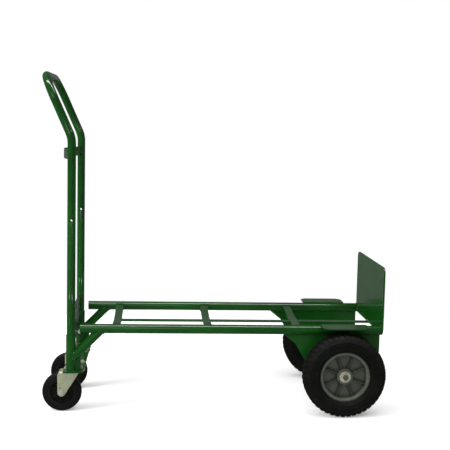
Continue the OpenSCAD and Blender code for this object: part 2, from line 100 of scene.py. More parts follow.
# Main wheels
RIM_LIP_R = 77 * MM
RIM_SEAT_R = 71 * MM
RIM_BORE_R = 67 * MM
RIM_HALF = 27 * MM
BEARING_R = 17.5 * MM
BOSS_R = 23.5 * MM
BOSS_HALF = 26 * MM
WEB_HALF = 6 * MM
WHEEL_RIBS = 8
RIB_T = 4 * MM
RIB_HALF = 20 * MM


def at(x, y, z, turn=Matrix.Identity(4)):
    return Matrix.Translation((x, y, z)) @ turn


# ---------- parts: (vertices, faces) pairs that are joined into pieces ----------


def placed(part, matrix):
    vertices, faces = part
    return [matrix @ Vector(v) for v in vertices], faces


def grid(rows, close_rows=True):
    """Quads between rows of points. Every row is a ring, and the last row joins the first if close_rows."""
    count = len(rows[0])
    vertices = [p for row in rows for p in row]
    faces = []
    for i in range(len(rows) if close_rows else len(rows) - 1):
        a, b = i * count, (i + 1) % len(rows) * count
        for j in range(count):
            k = (j + 1) % count
            faces.append((a + j, a + k, b + k, b + j))
    return vertices, faces


def ring(radius, height, count):
    return [
        Vector((radius * math.cos(TAU * i / count), radius * math.sin(TAU * i / count), height))
        for i in range(count)
    ]


def turned(profile, count=64, solid=False):
    """A profile of (radius, height) turned about local Z: a closed loop, or from axis to axis if solid."""
    return grid([ring(r, h, count) for r, h in profile], close_rows=not solid)


def rounded(corners, radius, steps=4):
    """Closed outline whose corners are arcs. A corner is (x, y), or (x, y, its own radius)."""
    outline = []
    for i, corner in enumerate(corners):
        p = Vector(corner[:2])
        r = corner[2] if len(corner) > 2 else radius
        a = Vector(corners[i - 1][:2]) - p
        b = Vector(corners[(i + 1) % len(corners)][:2]) - p
        half = a.angle(b) / 2
        if r <= 0 or half > math.radians(88):
            outline.append((p.x, p.y))
            continue
        reach = min(r / math.tan(half), 0.48 * a.length, 0.48 * b.length)
        centre = p + (a.normalized() + b.normalized()).normalized() * reach / math.cos(half)
        start = p + a.normalized() * reach - centre
        end = p + b.normalized() * reach - centre
        turn = math.atan2(start.x * end.y - start.y * end.x, start.dot(end))
        for k in range(steps + 1):
            c, s = math.cos(turn * k / steps), math.sin(turn * k / steps)
            outline.append((centre.x + c * start.x - s * start.y, centre.y + s * start.x + c * start.y))
    return outline


def circle(x, y, radius, count=32):
    return [(x + p.x, y + p.y) for p in ring(radius, 0, count)]


def below(side):
    """The other half of a symmetric outline of (x, y, corner radius)."""
    return [(x, -y, radius) for x, y, radius in reversed(side)]


def evaluated_part(obj):
    """The (vertices, faces) of an object with its modifiers, and the object is then removed."""
    bpy.context.view_layer.update()
    mesh = bpy.data.meshes.new_from_object(obj.evaluated_get(bpy.context.evaluated_depsgraph_get()))
    part = [v.co.copy() for v in mesh.vertices], [tuple(f.vertices) for f in mesh.polygons]
    bpy.data.objects.remove(obj)
    bpy.data.meshes.remove(mesh)
    return part


def plate(outlines, thickness, edge):
    """Flat plate about local Z = 0 with rounded edges, from its outline and its holes."""
    curve = bpy.data.curves.new("outline", "CURVE")
    curve.dimensions = "2D"
    curve.fill_mode = "BOTH"
    curve.extrude = thickness / 2 - edge
    curve.bevel_depth = edge
    curve.bevel_resolution = 2
    curve.offset = -edge
    for outline in outlines:
        spline = curve.splines.new("POLY")
        spline.points.add(len(outline) - 1)
        for point, (x, y) in zip(spline.points, outline):
            point.co = (x, y, 0, 1)
        spline.use_cyclic_u = True
    obj = bpy.data.objects.new("outline", curve)
    bpy.context.scene.collection.objects.link(obj)
    return evaluated_part(obj)


DOME = (0.0, 0.35, 0.65, 0.88)  # radii of a domed end's rings, as shares of the bar's radius
TIP = 0.02  # smallest ring at a closed end, as a share of the bar's radius


def swept(points, radius, count=16):
    """Round bar with domed ends along points. radius is a number, or a function of the share of the way."""
    points = [Vector(p) for p in points]
    last = len(points) - 1
    tangents = []
    for i in range(len(points)):
        before = points[max(i - 1, 0)]
        after = points[min(i + 1, last)]
        tangents.append((after - before).normalized())
    normal = tangents[0].orthogonal().normalized()
    rows = []

    def add_row(centre, tangent, r):
        side = tangent.cross(normal)
        rows.append([
            centre + r * (math.cos(TAU * k / count) * normal + math.sin(TAU * k / count) * side)
            for k in range(count)
        ])

    radius_at = radius if callable(radius) else lambda share: radius
    for cap in DOME:
        r = radius_at(0)
        add_row(points[0] - tangents[0] * r * math.sqrt(1 - cap * cap), tangents[0], max(cap, TIP) * r)
    for i, (point, tangent) in enumerate(zip(points, tangents)):
        normal = (normal - normal.dot(tangent) * tangent).normalized()
        add_row(point, tangent, radius_at(i / max(last, 1)))
    for cap in reversed(DOME):
        r = radius_at(1)
        tip = points[last] + tangents[last] * r * math.sqrt(1 - cap * cap)
        add_row(tip, tangents[last], max(cap, TIP) * r)
    vertices, faces = grid(rows, close_rows=False)
    faces.append(tuple(range(count)))
    faces.append(tuple(range(len(vertices) - count, len(vertices))))
    return vertices, faces


def threaded(radius, length, pitch, chamfer, count=24, steps=6):
    """Threaded bar from local Z = 0 up to length, with a chamfered tip."""
    depth = 0.55 * pitch
    rows = [ring(radius * TIP, 0, count)]
    total = round(length / pitch * steps)
    for i in range(total + 1):
        z = length * i / total
        tip = max(0.0, z - (length - chamfer))
        row = []
        for k in range(count):
            phase = (z / pitch - k / count) % 1
            r = radius - depth * abs(2 * phase - 1) - tip
            row.append(Vector((r * math.cos(TAU * k / count), r * math.sin(TAU * k / count), z)))
        rows.append(row)
    rows.append(ring(radius * TIP, length, count))
    return grid(rows, close_rows=False)


# ---------- pieces ----------


def piece(name, parts, material, body, nodes=(), sharp=32):
    """One object from parts, with its finish, the body it rides on and the CAD nodes it stands for."""
    shape = bmesh.new()
    for vertices, faces in parts:
        made = [shape.verts.new(v) for v in vertices]
        for face in faces:
            if len(set(face)) > 2:
                shape.faces.new([made[i] for i in face])
    bmesh.ops.remove_doubles(shape, verts=shape.verts, dist=1e-6)
    bmesh.ops.dissolve_degenerate(shape, edges=shape.edges, dist=1e-7)
    bmesh.ops.recalc_face_normals(shape, faces=shape.faces)
    mesh = bpy.data.meshes.new(name)
    shape.to_mesh(mesh)
    shape.free()
    mesh.polygons.foreach_set("use_smooth", [True] * len(mesh.polygons))
    mesh.set_sharp_from_angle(angle=math.radians(sharp))
    mesh.materials.append(material)
    obj = bpy.data.objects.new(name, mesh)
    bpy.context.scene.collection.objects.link(obj)
    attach(obj, body)
    if nodes:
        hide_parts(*nodes)
    return obj


def both_ways(part):
    """A part and its mirror image across the deck."""
    return [part, placed(part, Matrix.Scale(-1, 4, (0, 1, 0)))]


# ---------- materials ----------


class Nodes:
    """Short ways to build a material's node tree."""

    def __init__(self, name):
        self.material = bpy.data.materials.new(name)
        self.material.use_nodes = True
        self.tree = self.material.node_tree
        self.shader = self.tree.nodes["Principled BSDF"]
        self.place = self.tree.nodes.new("ShaderNodeTexCoord").outputs["Object"]

    def link(self, source, socket):
        self.tree.links.new(source, socket)

    def new(self, kind, inputs=(), **settings):
        node = self.tree.nodes.new(kind)
        for key, value in settings.items():
            setattr(node, key, value)
        for key, value in dict(inputs).items():
            if isinstance(value, bpy.types.NodeSocket):
                self.link(value, node.inputs[key])
            else:
                node.inputs[key].default_value = value
        return node

    def noise(self, scale, detail, roughness=0.55, stretch=None):
        vector = self.place
        if stretch:
            vector = self.new("ShaderNodeMapping", {"Vector": self.place, "Scale": stretch}).outputs[0]
        inputs = {"Vector": vector, "Scale": scale, "Detail": detail, "Roughness": roughness}
        return self.new("ShaderNodeTexNoise", inputs).outputs["Fac"]

    def spread(self, value, low, high, to_low=0.0, to_high=1.0):
        """Value from low to high, mapped to a new range and clamped."""
        inputs = {"Value": value, "From Min": low, "From Max": high, "To Min": to_low, "To Max": to_high}
        return self.new("ShaderNodeMapRange", inputs).outputs["Result"]

    def math(self, operation, a, b):
        return self.new("ShaderNodeMath", {0: a, 1: b}, operation=operation).outputs[0]

    def mix(self, share, a, b):
        inputs = {"Factor": share, "A": a, "B": b}
        node = self.tree.nodes.new("ShaderNodeMix")
        node.data_type = "RGBA"
        for key, value in inputs.items():
            socket = next(s for s in node.inputs if s.name == key and (key == "Factor" or s.type == "RGBA"))
            if isinstance(value, bpy.types.NodeSocket):
                self.link(value, socket)
            else:
                socket.default_value = value
        return next(s for s in node.outputs if s.type == "RGBA")

    def edges(self, radius):
        """1 along sharp edges and 0 on flat and gently curved faces."""
        smooth = self.new("ShaderNodeBevel", {"Radius": radius}, samples=4).outputs[0]
        normal = self.new("ShaderNodeNewGeometry").outputs["Normal"]
        likeness = self.new("ShaderNodeVectorMath", {0: smooth, 1: normal}, operation="DOT_PRODUCT")
        return self.spread(likeness.outputs["Value"], 0.99, 0.85)

    def corners(self, reach):
        """1 deep in corners and 0 in the open, from ambient occlusion: the mask of painted shade in corners."""
        inputs = {"Distance": reach}
        open_share = self.new("ShaderNodeAmbientOcclusion", inputs, samples=8).outputs["AO"]
        return self.spread(open_share, 0.95, 0.55)

    def ribs(self, low, high, half_width):
        """1 on a main wheel's ribs, between two radii about the main axle, and 0 beside them: the mask of
        painted shade on the ribs.
        """
        pitch = TAU / WHEEL_RIBS
        away = self.new("ShaderNodeVectorMath", {0: self.place, 1: AXLE}, operation="SUBTRACT").outputs[0]
        x, _, z = self.new("ShaderNodeSeparateXYZ", {0: away}).outputs
        squares = self.math("ADD", self.math("MULTIPLY", x, x), self.math("MULTIPLY", z, z))
        radius = self.math("POWER", squares, 0.5)
        share = self.math("FRACT", self.math("DIVIDE", self.math("ARCTAN2", z, x), pitch), 0.0)
        aside = self.math("MULTIPLY", self.math("ABSOLUTE", self.math("SUBTRACT", share, 0.5), 0.0), pitch)
        on_rib = self.spread(self.math("MULTIPLY", aside, radius), half_width + 1 * MM, half_width)
        outside = self.spread(radius, low, low + 2 * MM)
        inside = self.spread(radius, high, high - 2 * MM)
        return self.math("MULTIPLY", on_rib, self.math("MULTIPLY", outside, inside))

    def upward(self):
        """1 on faces that look up."""
        normal = self.new("ShaderNodeNewGeometry").outputs["Normal"]
        return self.new("ShaderNodeSeparateXYZ", {0: normal}).outputs["Z"]

    def bump(self, height, strength, distance):
        inputs = {"Height": height, "Strength": strength, "Distance": distance}
        self.link(self.new("ShaderNodeBump", inputs).outputs["Normal"], self.shader.inputs["Normal"])

    def colour(self, source):
        self.link(source, self.shader.inputs["Base Color"])

    def rough(self, source):
        self.link(source, self.shader.inputs["Roughness"])

    def set(self, **values):
        for key, value in values.items():
            self.shader.inputs[key.replace("_", " ")].default_value = value


def green_paint():
    """Dark green gloss enamel, worn along its edges, and greyed on its upward faces partly by dust and partly
    by a painted sheen of the bright sky.
    """
    n = Nodes("green_enamel")
    deep, light = (0.0040, 0.0450, 0.0045, 1), (0.0065, 0.0640, 0.0070, 1)
    shade = n.mix(n.spread(n.noise(7, 4), 0.35, 0.65), deep, light)
    worn = n.mix(n.spread(n.noise(60, 5), 0.4, 0.7), (0.015, 0.110, 0.020, 1), (0.070, 0.100, 0.060, 1))
    chips = n.math("MULTIPLY", n.edges(1.1 * MM), n.spread(n.noise(240, 4), 0.54, 0.66))
    rubbed = n.math("MULTIPLY", chips, n.spread(n.noise(22, 2), 0.45, 0.62))
    # Painted highlight: the grey on upward faces is partly dust and partly a painted sheen of the bright sky on
    # the tops.
    dust = n.math("MULTIPLY", n.spread(n.upward(), 0.5, 1.0), n.spread(n.noise(35, 6), 0.40, 0.8, 0.0, 0.05))
    n.colour(n.mix(dust, n.mix(rubbed, shade, worn), (0.20, 0.24, 0.18, 1)))
    scuffs = n.spread(n.noise(90, 5, 0.6, stretch=(0.25, 1, 1)), 0.58, 0.80, 0.0, 0.10)
    sheen = n.math("ADD", n.spread(n.noise(12, 3), 0.3, 0.7, 0.13, 0.20), scuffs)
    n.rough(n.math("ADD", sheen, n.math("MULTIPLY", rubbed, 0.3)))
    n.bump(n.noise(420, 2), 0.10, 0.25 * MM)
    n.set(Specular_IOR_Level=0.34, Coat_Weight=0.12, Coat_Roughness=0.06)
    return n.material


def yellow_zinc():
    """Passivated zinc of the pressed caster parts, from yellowish to greenish grey."""
    n = Nodes("yellow_zinc")
    warm = n.mix(n.spread(n.noise(28, 3), 0.35, 0.65), (0.46, 0.46, 0.30, 1), (0.39, 0.46, 0.33, 1))
    tint = n.mix(n.spread(n.noise(75, 5), 0.45, 0.75, 0.0, 0.7), warm, (0.50, 0.45, 0.31, 1))
    grime = n.spread(n.noise(45, 6, 0.65), 0.55, 0.75, 0.0, 0.5)
    n.colour(n.mix(grime, tint, (0.16, 0.15, 0.11, 1)))
    n.rough(n.spread(n.noise(120, 4, 0.6, stretch=(1, 1, 0.2)), 0.3, 0.7, 0.36, 0.58))
    n.bump(n.noise(700, 3), 0.12, 0.15 * MM)
    n.set(Metallic=0.45)
    return n.material


def bright_zinc():
    """Plated bolts, nuts, washers and pins."""
    n = Nodes("bright_zinc")
    plain = n.mix(n.spread(n.noise(60, 3), 0.35, 0.65), (0.50, 0.51, 0.43, 1), (0.60, 0.60, 0.51, 1))
    grime = n.spread(n.noise(150, 6, 0.65), 0.52, 0.72, 0.0, 0.6)
    n.colour(n.mix(grime, plain, (0.16, 0.15, 0.11, 1)))
    n.rough(n.spread(n.noise(300, 3), 0.3, 0.7, 0.26, 0.46))
    n.bump(n.noise(900, 2), 0.10, 0.10 * MM)
    n.set(Metallic=0.55)
    return n.material


def oiled_steel():
    """Bare steel under old oil."""
    n = Nodes("oiled_steel")
    plain = n.mix(n.spread(n.noise(80, 3), 0.35, 0.65), (0.10, 0.095, 0.050, 1), (0.17, 0.155, 0.085, 1))
    grime = n.spread(n.noise(160, 6, 0.65), 0.52, 0.72, 0.0, 0.6)
    n.colour(n.mix(grime, plain, (0.05, 0.045, 0.030, 1)))
    n.rough(n.spread(n.noise(300, 3), 0.3, 0.7, 0.30, 0.50))
    n.bump(n.noise(900, 2), 0.10, 0.10 * MM)
    n.set(Metallic=0.5)
    return n.material


def tyre_rubber():
    """Matt black rubber, greyed along its tread blocks."""
    n = Nodes("tyre_rubber")
    deep, light = (0.0024, 0.0030, 0.0022, 1), (0.0050, 0.0056, 0.0042, 1)
    black = n.mix(n.spread(n.noise(9, 4), 0.35, 0.7), deep, light)
    dust = n.spread(n.noise(40, 8, 0.7), 0.52, 0.80, 0.0, 0.25)
    rubbed = n.math("MULTIPLY", n.edges(1.5 * MM), n.spread(n.noise(80, 4), 0.35, 0.65, 0.1, 0.5))
    n.colour(n.mix(n.math("MAXIMUM", dust, rubbed), black, (0.024, 0.026, 0.020, 1)))
    n.rough(n.spread(n.noise(55, 5), 0.3, 0.7, 0.58, 0.82))
    n.bump(n.noise(650, 4, 0.6), 0.30, 0.20 * MM)
    n.set(Specular_IOR_Level=0.16)
    return n.material


def caster_rubber():
    """Smooth black rubber with scuffs."""
    n = Nodes("caster_rubber")
    deep, light = (0.0028, 0.0032, 0.0028, 1), (0.0056, 0.0060, 0.0050, 1)
    black = n.mix(n.spread(n.noise(14, 4), 0.35, 0.7), deep, light)
    scuffs = n.spread(n.noise(60, 8, 0.7), 0.55, 0.80, 0.0, 0.45)
    n.colour(n.mix(scuffs, black, (0.022, 0.022, 0.018, 1)))
    n.rough(n.spread(n.noise(80, 5), 0.3, 0.7, 0.42, 0.66))
    n.bump(n.noise(800, 3), 0.18, 0.12 * MM)
    n.set(Specular_IOR_Level=0.22)
    return n.material


def hub_plastic():
    """Grey moulded plastic of the main wheels, with painted shade on its ribs and in its corners."""
    n = Nodes("hub_plastic")
    deep, light = (0.068, 0.080, 0.056, 1), (0.086, 0.098, 0.072, 1)
    open_grey = n.mix(n.spread(n.noise(16, 3), 0.35, 0.65), deep, light)
    # Painted shade: darker grey deep in the corners, where shade falls.
    shaded = n.mix(n.corners(9 * MM), open_grey, (0.016, 0.019, 0.014, 1))
    # Painted shade: the ribs are painted darker, standing in for the shadows beside them.
    ribs = n.ribs(BOSS_R + 0.5 * MM, RIM_BORE_R - 1 * MM, RIB_T / 2 + 0.6 * MM)
    on_rib = n.math("MULTIPLY", ribs, 0.75)
    grey = n.mix(on_rib, shaded, (0.018, 0.022, 0.016, 1))
    rubbed = n.math("MULTIPLY", n.edges(1.0 * MM), n.spread(n.noise(90, 4), 0.35, 0.65, 0.0, 0.35))
    dust = n.spread(n.noise(50, 7, 0.68), 0.55, 0.80, 0.0, 0.35)
    n.colour(n.mix(n.math("MAXIMUM", rubbed, dust), grey, (0.140, 0.145, 0.120, 1)))
    n.rough(n.spread(n.noise(70, 4), 0.3, 0.7, 0.40, 0.60))
    n.bump(n.noise(1100, 3), 0.20, 0.12 * MM)
    n.set(Specular_IOR_Level=0.5)
    return n.material


def caster_hub_plastic():
    """Black moulded plastic of the caster wheels."""
    n = Nodes("caster_hub_plastic")
    deep, light = (0.0034, 0.0038, 0.0034, 1), (0.0068, 0.0072, 0.0062, 1)
    dark = n.mix(n.spread(n.noise(20, 3), 0.35, 0.65), deep, light)
    rubbed = n.math("MULTIPLY", n.edges(0.8 * MM), n.spread(n.noise(110, 4), 0.35, 0.65, 0.1, 0.6))
    n.colour(n.mix(rubbed, dark, (0.030, 0.031, 0.026, 1)))
    n.rough(n.spread(n.noise(90, 4), 0.3, 0.7, 0.38, 0.58))
    n.bump(n.noise(1100, 3), 0.18, 0.10 * MM)
    n.set(Specular_IOR_Level=0.25)
    return n.material


FINISHES = {
    "green_paint": green_paint(),
    "yellow_zinc": yellow_zinc(),
    "bright_zinc": bright_zinc(),
    "oiled_steel": oiled_steel(),
    "tyre_rubber": tyre_rubber(),
    "caster_rubber": caster_rubber(),
    "hub_plastic": hub_plastic(),
    "caster_hub_plastic": caster_hub_plastic(),
}


def finished(name, parts, slot, body, nodes=(), sharp=32):
    return piece(name, parts, FINISHES[slot], body, nodes, sharp)


# ---------- CAD nodes that stay: their finishes and their eased edges ----------


def dress_cad_nodes():
    """Gives each CAD node its own slot's finish and eases its sharp edges. The axle is bare and oiled."""
    for name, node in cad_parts.items():
        finish = "oiled_steel" if name == "axle" else node.data.materials[0].name
        node.material_slots[0].link = "OBJECT"
        node.material_slots[0].material = FINISHES[finish]
        weld = node.modifiers.new("join_corners", "WELD")
        weld.merge_threshold = 0.002 * MM
        bevel = node.modifiers.new("eased_edges", "BEVEL")
        bevel.limit_method = "ANGLE"
        bevel.angle_limit = math.radians(38)
        bevel.width = 0.5 * MM
        bevel.segments = 2
        bevel.use_clamp_overlap = True


# ---------- main wheels ----------

TREAD_PITCHES = 44
LUG_DEPTH = 3.2 * MM
GROOVE_DEPTH = 3 * MM
LUG_FLOOR_R = WHEEL_R - 14 * MM


def tyre_profile():
    """Rows of the tyre's cross-section: (radius, offset along the axle, cut of the lug grooves, skew)."""
    h = size("tyre_left").y / 2
    r = WHEEL_R
    side_groove_y, shoulder_y, centre_groove_y = 12.7 * MM, 9.4 * MM, 1.8 * MM
    groove_wall = 0.4 * MM
    wall = [
        (RIM_SEAT_R, 0), (RIM_SEAT_R, RIM_HALF - 3 * MM), (RIM_LIP_R, RIM_HALF - 3 * MM),
        (RIM_LIP_R, RIM_HALF + 2 * MM), (RIM_LIP_R + 1.5 * MM, RIM_HALF + 4 * MM),
        (RIM_LIP_R + 5 * MM, h - 5 * MM), (RIM_LIP_R + 9 * MM, h - 3.2 * MM),
        (RIM_LIP_R + 10 * MM, h - 2.2 * MM), (RIM_LIP_R + 12 * MM, h - 2.2 * MM),
        (RIM_LIP_R + 13 * MM, h - 2.8 * MM), (r - 30 * MM, h - 0.6 * MM), (r - 24 * MM, h - 0.4 * MM),
        (r - 19 * MM, h - 1.2 * MM), (r - 18 * MM, h - 0.5 * MM), (r - 16.6 * MM, h - 0.7 * MM),
        (r - 15.8 * MM, h - 2.2 * MM), (r - 12 * MM, h - 4.2 * MM),
    ]
    crown = [
        (r - 9.5 * MM, h - 5.6 * MM, 0.6, 0.00), (r - 5 * MM, h - 9.4 * MM, 1.0, 0.02),
        (r - 2 * MM, h - 13 * MM, 1.0, 0.05), (r - 0.6 * MM, h - 18 * MM, 1.0, 0.10),
        (r, h - 20.6 * MM, 1.0, 0.14), (r, side_groove_y, 1.0, 0.22),
        (r - GROOVE_DEPTH, side_groove_y - groove_wall, 0.0, 0.22),
        (r - GROOVE_DEPTH, shoulder_y + groove_wall, 0.0, 0.30),
        (r, shoulder_y, 0.6, 0.30), (r, centre_groove_y, 0.6, 0.60),
        (r - GROOVE_DEPTH, centre_groove_y - groove_wall, 0.0, 0.60),
    ]
    rows = [(radius, y, 0.0, 0.0) for radius, y in wall] + crown
    mirrored = [(radius, -y, cut, -skew) for radius, y, cut, skew in reversed(rows)]
    return rows + mirrored[:-1]


def tyre_part():
    """Tyre about local Z, with circumferential grooves and skewed lug grooves between its tread blocks."""
    block = [(share, 0.0) for share in (0.0, 0.18, 0.36, 0.54, 0.72)]
    lug_groove = [(share, 1.0) for share in (0.75, 0.97)]
    columns = []
    for i in range(TREAD_PITCHES):
        for share, cut in block + lug_groove:
            columns.append((TAU * (i + share) / TREAD_PITCHES, cut))
    rows = []
    for radius, y, depth, skew in tyre_profile():
        row = []
        for angle, cut in columns:
            a = angle + skew * TAU / TREAD_PITCHES
            r = max(radius - cut * depth * LUG_DEPTH, min(radius, LUG_FLOOR_R))
            row.append(Vector((r * math.cos(a), r * math.sin(a), y)))
        rows.append(row)
    return grid(rows)


def ribbed_part(profile, ribs, rib_t, rib_half, inner, outer, floor_columns=5):
    """Turned profile about local Z, with straight radial ribs on both of its webs between two radii."""
    fillet = 0.5 * rib_t
    edge = 0.2 * rib_t
    half = [
        (-rib_t / 2 - fillet, 0.0), (-rib_t / 2 - 0.4 * fillet, 0.03), (-rib_t / 2 - 0.1 * fillet, 0.12),
        (-rib_t / 2, 0.92), (-rib_t / 2 + 0.4 * edge, 0.98), (-rib_t / 2 + edge, 1.0),
    ]
    across = half + [(-offset, share) for offset, share in reversed(half)]
    gap = rib_t / 2 + fillet
    rows = []
    for radius, height in profile:
        within = inner - 1e-6 <= radius <= outer + 1e-6 and abs(height) < rib_half
        raised = math.copysign(rib_half - 0.03 * (rib_half - abs(height)), height)
        foot = max(radius, inner)
        row = []
        for k in range(ribs):
            middle_angle = TAU * (k + 0.5) / ribs
            for offset, share in across:
                a = middle_angle + math.asin(offset / foot)
                z = height + (raised - height) * share if within else height
                row.append(Vector((radius * math.cos(a), radius * math.sin(a), z)))
            start = middle_angle + math.asin(gap / foot)
            stop = middle_angle + TAU / ribs - math.asin(gap / foot)
            for m in range(1, floor_columns + 1):
                a = start + (stop - start) * m / (floor_columns + 1)
                row.append(Vector((radius * math.cos(a), radius * math.sin(a), height)))
        rows.append(row)
    return grid(rows)


def hub_profile():
    """Closed cross-section of the main wheel's hub: boss, web and a rim with two lips."""
    fillet, edge = 2.2 * MM, 0.8 * MM
    lip_step = RIM_HALF - 1.6 * MM
    seat_y, boss_y, bearing_y = RIM_HALF - 3 * MM, BOSS_HALF - 0.2 * MM, BOSS_HALF - 12 * MM
    seat_r, bore_r = BEARING_R + 0.1 * MM, 10 * MM
    side = [
        (RIM_SEAT_R, seat_y, 0.3 * MM), (RIM_LIP_R, seat_y, 0.3 * MM), (RIM_LIP_R, RIM_HALF, edge),
        (RIM_BORE_R + 3.4 * MM, RIM_HALF, 0.6 * MM), (RIM_BORE_R + 2.4 * MM, lip_step, 0.6 * MM),
        (RIM_BORE_R, lip_step, 1.2 * MM), (RIM_BORE_R, WEB_HALF, fillet), (BOSS_R, WEB_HALF, fillet),
        (BOSS_R, boss_y, edge), (seat_r, boss_y, 0.3 * MM), (seat_r, bearing_y, 0.2 * MM),
        (bore_r, bearing_y, 0.2 * MM),
    ]
    return rounded(side + below(side), edge, steps=3)


def main_wheel(side_name, side):
    body = f"wheel_{side_name}"
    place = at(AXLE_X, side * WHEEL_Y, WHEEL_R, ALONG_Y)
    finished(f"treaded_tyre_{side_name}", [placed(tyre_part(), place)], "tyre_rubber", body,
             [f"tyre_{side_name}"], sharp=28)
    hub = ribbed_part(hub_profile(), WHEEL_RIBS, RIB_T, RIB_HALF, BOSS_R, RIM_BORE_R)
    finished(f"ribbed_hub_{side_name}", [placed(hub, place)], "hub_plastic", body,
             [f"wheel_hub_{side_name}", f"wheel_rim_{side_name}"])


# ---------- casters ----------

FORK_T = 2.5 * MM
FORK_IN = 19.5 * MM
CROWN_Z = CASTER_R * 2 + 3 * MM
EYE_R = 12 * MM
BEND_R = 5 * MM
RACE_R = 29 * MM
EYE_X = CASTER_X - KING_X
KINGPIN_HOLE_R = 6.2 * MM
AXLE_HOLE_R = 5.05 * MM
SPARE_HOLE_R = 2.2 * MM


def fork_sheet():
    """Fork pressed from one sheet, about the swivel axis: a flat pattern that is bent over two long bends."""
    mid_y = FORK_IN + FORK_T / 2
    top_z = CROWN_Z + FORK_T / 2 + 0.1 * MM
    flat_half = mid_y - BEND_R
    arc = math.pi / 2 * BEND_R

    def down(z):
        return flat_half + arc + (top_z - BEND_R - z)

    eye_s = down(CASTER_R)
    back_x, front_x = EYE_X - EYE_R, 13 * MM
    taper = math.radians(28)
    half = rounded([(back_x + 9 * MM, flat_half * 0.4, 0), (back_x + 6 * MM, flat_half + 1 * MM, 3 * MM),
                    (back_x, down(CROWN_Z - 9 * MM), 10 * MM), (back_x, eye_s, 0)], 0, steps=8)
    steps = 18
    for k in range(1, steps + 1):
        a = math.pi - (math.pi - taper) * k / steps
        half.append((EYE_X + EYE_R * math.cos(a), eye_s + EYE_R * math.sin(a)))
    half += [(front_x, down(CROWN_Z - 4 * MM)), (front_x, flat_half * 0.4)]
    outline = half + [(x, -s) for x, s in reversed(half)]
    holes = [circle(0, 0, KINGPIN_HOLE_R)]
    for sign in (1, -1):
        holes.append(circle(EYE_X, sign * eye_s, AXLE_HOLE_R))
        holes.append(circle(EYE_X - 4 * MM, sign * down(CASTER_R + 15 * MM), SPARE_HOLE_R, 20))
    vertices, faces = plate([outline, *holes], FORK_T, 0.5 * MM)
    sheet = bmesh.new()
    made = [sheet.verts.new(v) for v in vertices]
    for face in faces:
        if len(set(face)) > 2:
            sheet.faces.new([made[i] for i in face])
    bmesh.ops.remove_doubles(sheet, verts=sheet.verts, dist=1e-6)
    folds = 8
    for sign in (1, -1):
        for k in range(folds + 1):
            fold = sign * (flat_half + arc * k / folds)
            bmesh.ops.bisect_plane(sheet, geom=sheet.verts[:] + sheet.edges[:] + sheet.faces[:],
                                   plane_co=(0, fold, 0), plane_no=(0, 1, 0), dist=1e-7)
    for v in sheet.verts:
        x, s, t = v.co
        angle = min(max(abs(s) - flat_half, 0), arc) / BEND_R
        drop = max(abs(s) - flat_half - arc, 0)
        y = min(abs(s), flat_half) + (BEND_R + t) * math.sin(angle)
        v.co = (x, math.copysign(y, s), top_z - BEND_R + (BEND_R + t) * math.cos(angle) - drop)
    sheet.verts.index_update()
    part = [v.co.copy() for v in sheet.verts], [tuple(v.index for v in f.verts) for f in sheet.faces]
    sheet.free()
    return part


def fork_parts():
    """The bent sheet, the round crown with its lip round the ball race, and the pressed ribs on its sides."""
    lip_r = RACE_R + 2.5 * MM
    lip_in_r = lip_r - 2.1 * MM
    crown_low, crown_high, lip_high = (CROWN_Z + rise for rise in (0.2 * MM, 2.9 * MM, 6 * MM))
    crown = turned(rounded([(KINGPIN_HOLE_R, crown_low), (lip_r, crown_low, 1.5 * MM),
                            (lip_r, lip_high, 0.5 * MM), (lip_in_r, lip_high, 0.5 * MM),
                            (lip_in_r, crown_high, 0.4 * MM), (KINGPIN_HOLE_R, crown_high)], 0.3 * MM))
    parts = [fork_sheet(), crown]
    rib_top = CROWN_Z - 6 * MM
    steps = 6
    for i in range(4):
        x = EYE_X - 7.5 * MM + i * 6 * MM
        low = CROWN_Z - 45 * MM + i * 4 * MM
        line = [(x, FORK_IN + FORK_T, low + (rib_top - low) * k / steps) for k in range(steps + 1)]
        parts += both_ways(swept(line, 0.9 * MM, 12))
    return parts


def caster_wheel_parts():
    """Tread and hub of a caster wheel about local Z."""
    h = size("caster_tread_left").y / 2
    r = CASTER_R
    seat = 42 * MM
    side = [(seat, h - 0.4 * MM, 0.4 * MM), (seat + 1.5 * MM, h, 0.4 * MM), (r - 7 * MM, h, 3 * MM),
            (r - 1.6 * MM, h - 4.5 * MM, 4 * MM), (r - 0.25 * MM, h - 10 * MM, 4 * MM),
            (r - 0.25 * MM, 0.7 * MM, 0.1 * MM), (r, 0.3 * MM, 0.1 * MM)]
    tread = turned(rounded(side + below(side), 0, steps=3), 96)
    boss_h = size("caster_hub_left").y / 2
    rim_h = h - 0.5 * MM
    web_half, boss_r, rim_r, bore_r = 5 * MM, 15 * MM, 36 * MM, 8 * MM
    half = [(seat, rim_h, 0.5 * MM), (rim_r, rim_h, 1.5 * MM), (rim_r - 2 * MM, web_half, 2 * MM),
            (boss_r + 2 * MM, web_half, 2 * MM), (boss_r, boss_h, 0.6 * MM), (bore_r, boss_h, 0.4 * MM)]
    hub = ribbed_part(rounded(half + below(half), 0, steps=3), 6, 3 * MM, 11 * MM, boss_r, rim_r)
    return tread, hub


def caster(side_name, side):
    swivel = at(KING_X, side * KING_Y, 0)
    wheel = at(CASTER_X, side * KING_Y, CASTER_R, ALONG_Y)
    finished(f"pressed_fork_{side_name}", [placed(p, swivel) for p in fork_parts()], "yellow_zinc",
             f"caster_{side_name}", [f"caster_fork_{side_name}"])
    tread, hub = caster_wheel_parts()
    body = f"caster_wheel_{side_name}"
    finished(f"moulded_tread_{side_name}", [placed(tread, wheel)], "caster_rubber", body,
             [f"caster_tread_{side_name}"])
    finished(f"moulded_hub_{side_name}", [placed(hub, wheel)], "caster_hub_plastic", body,
             [f"caster_hub_{side_name}"])


# ---------- fasteners ----------


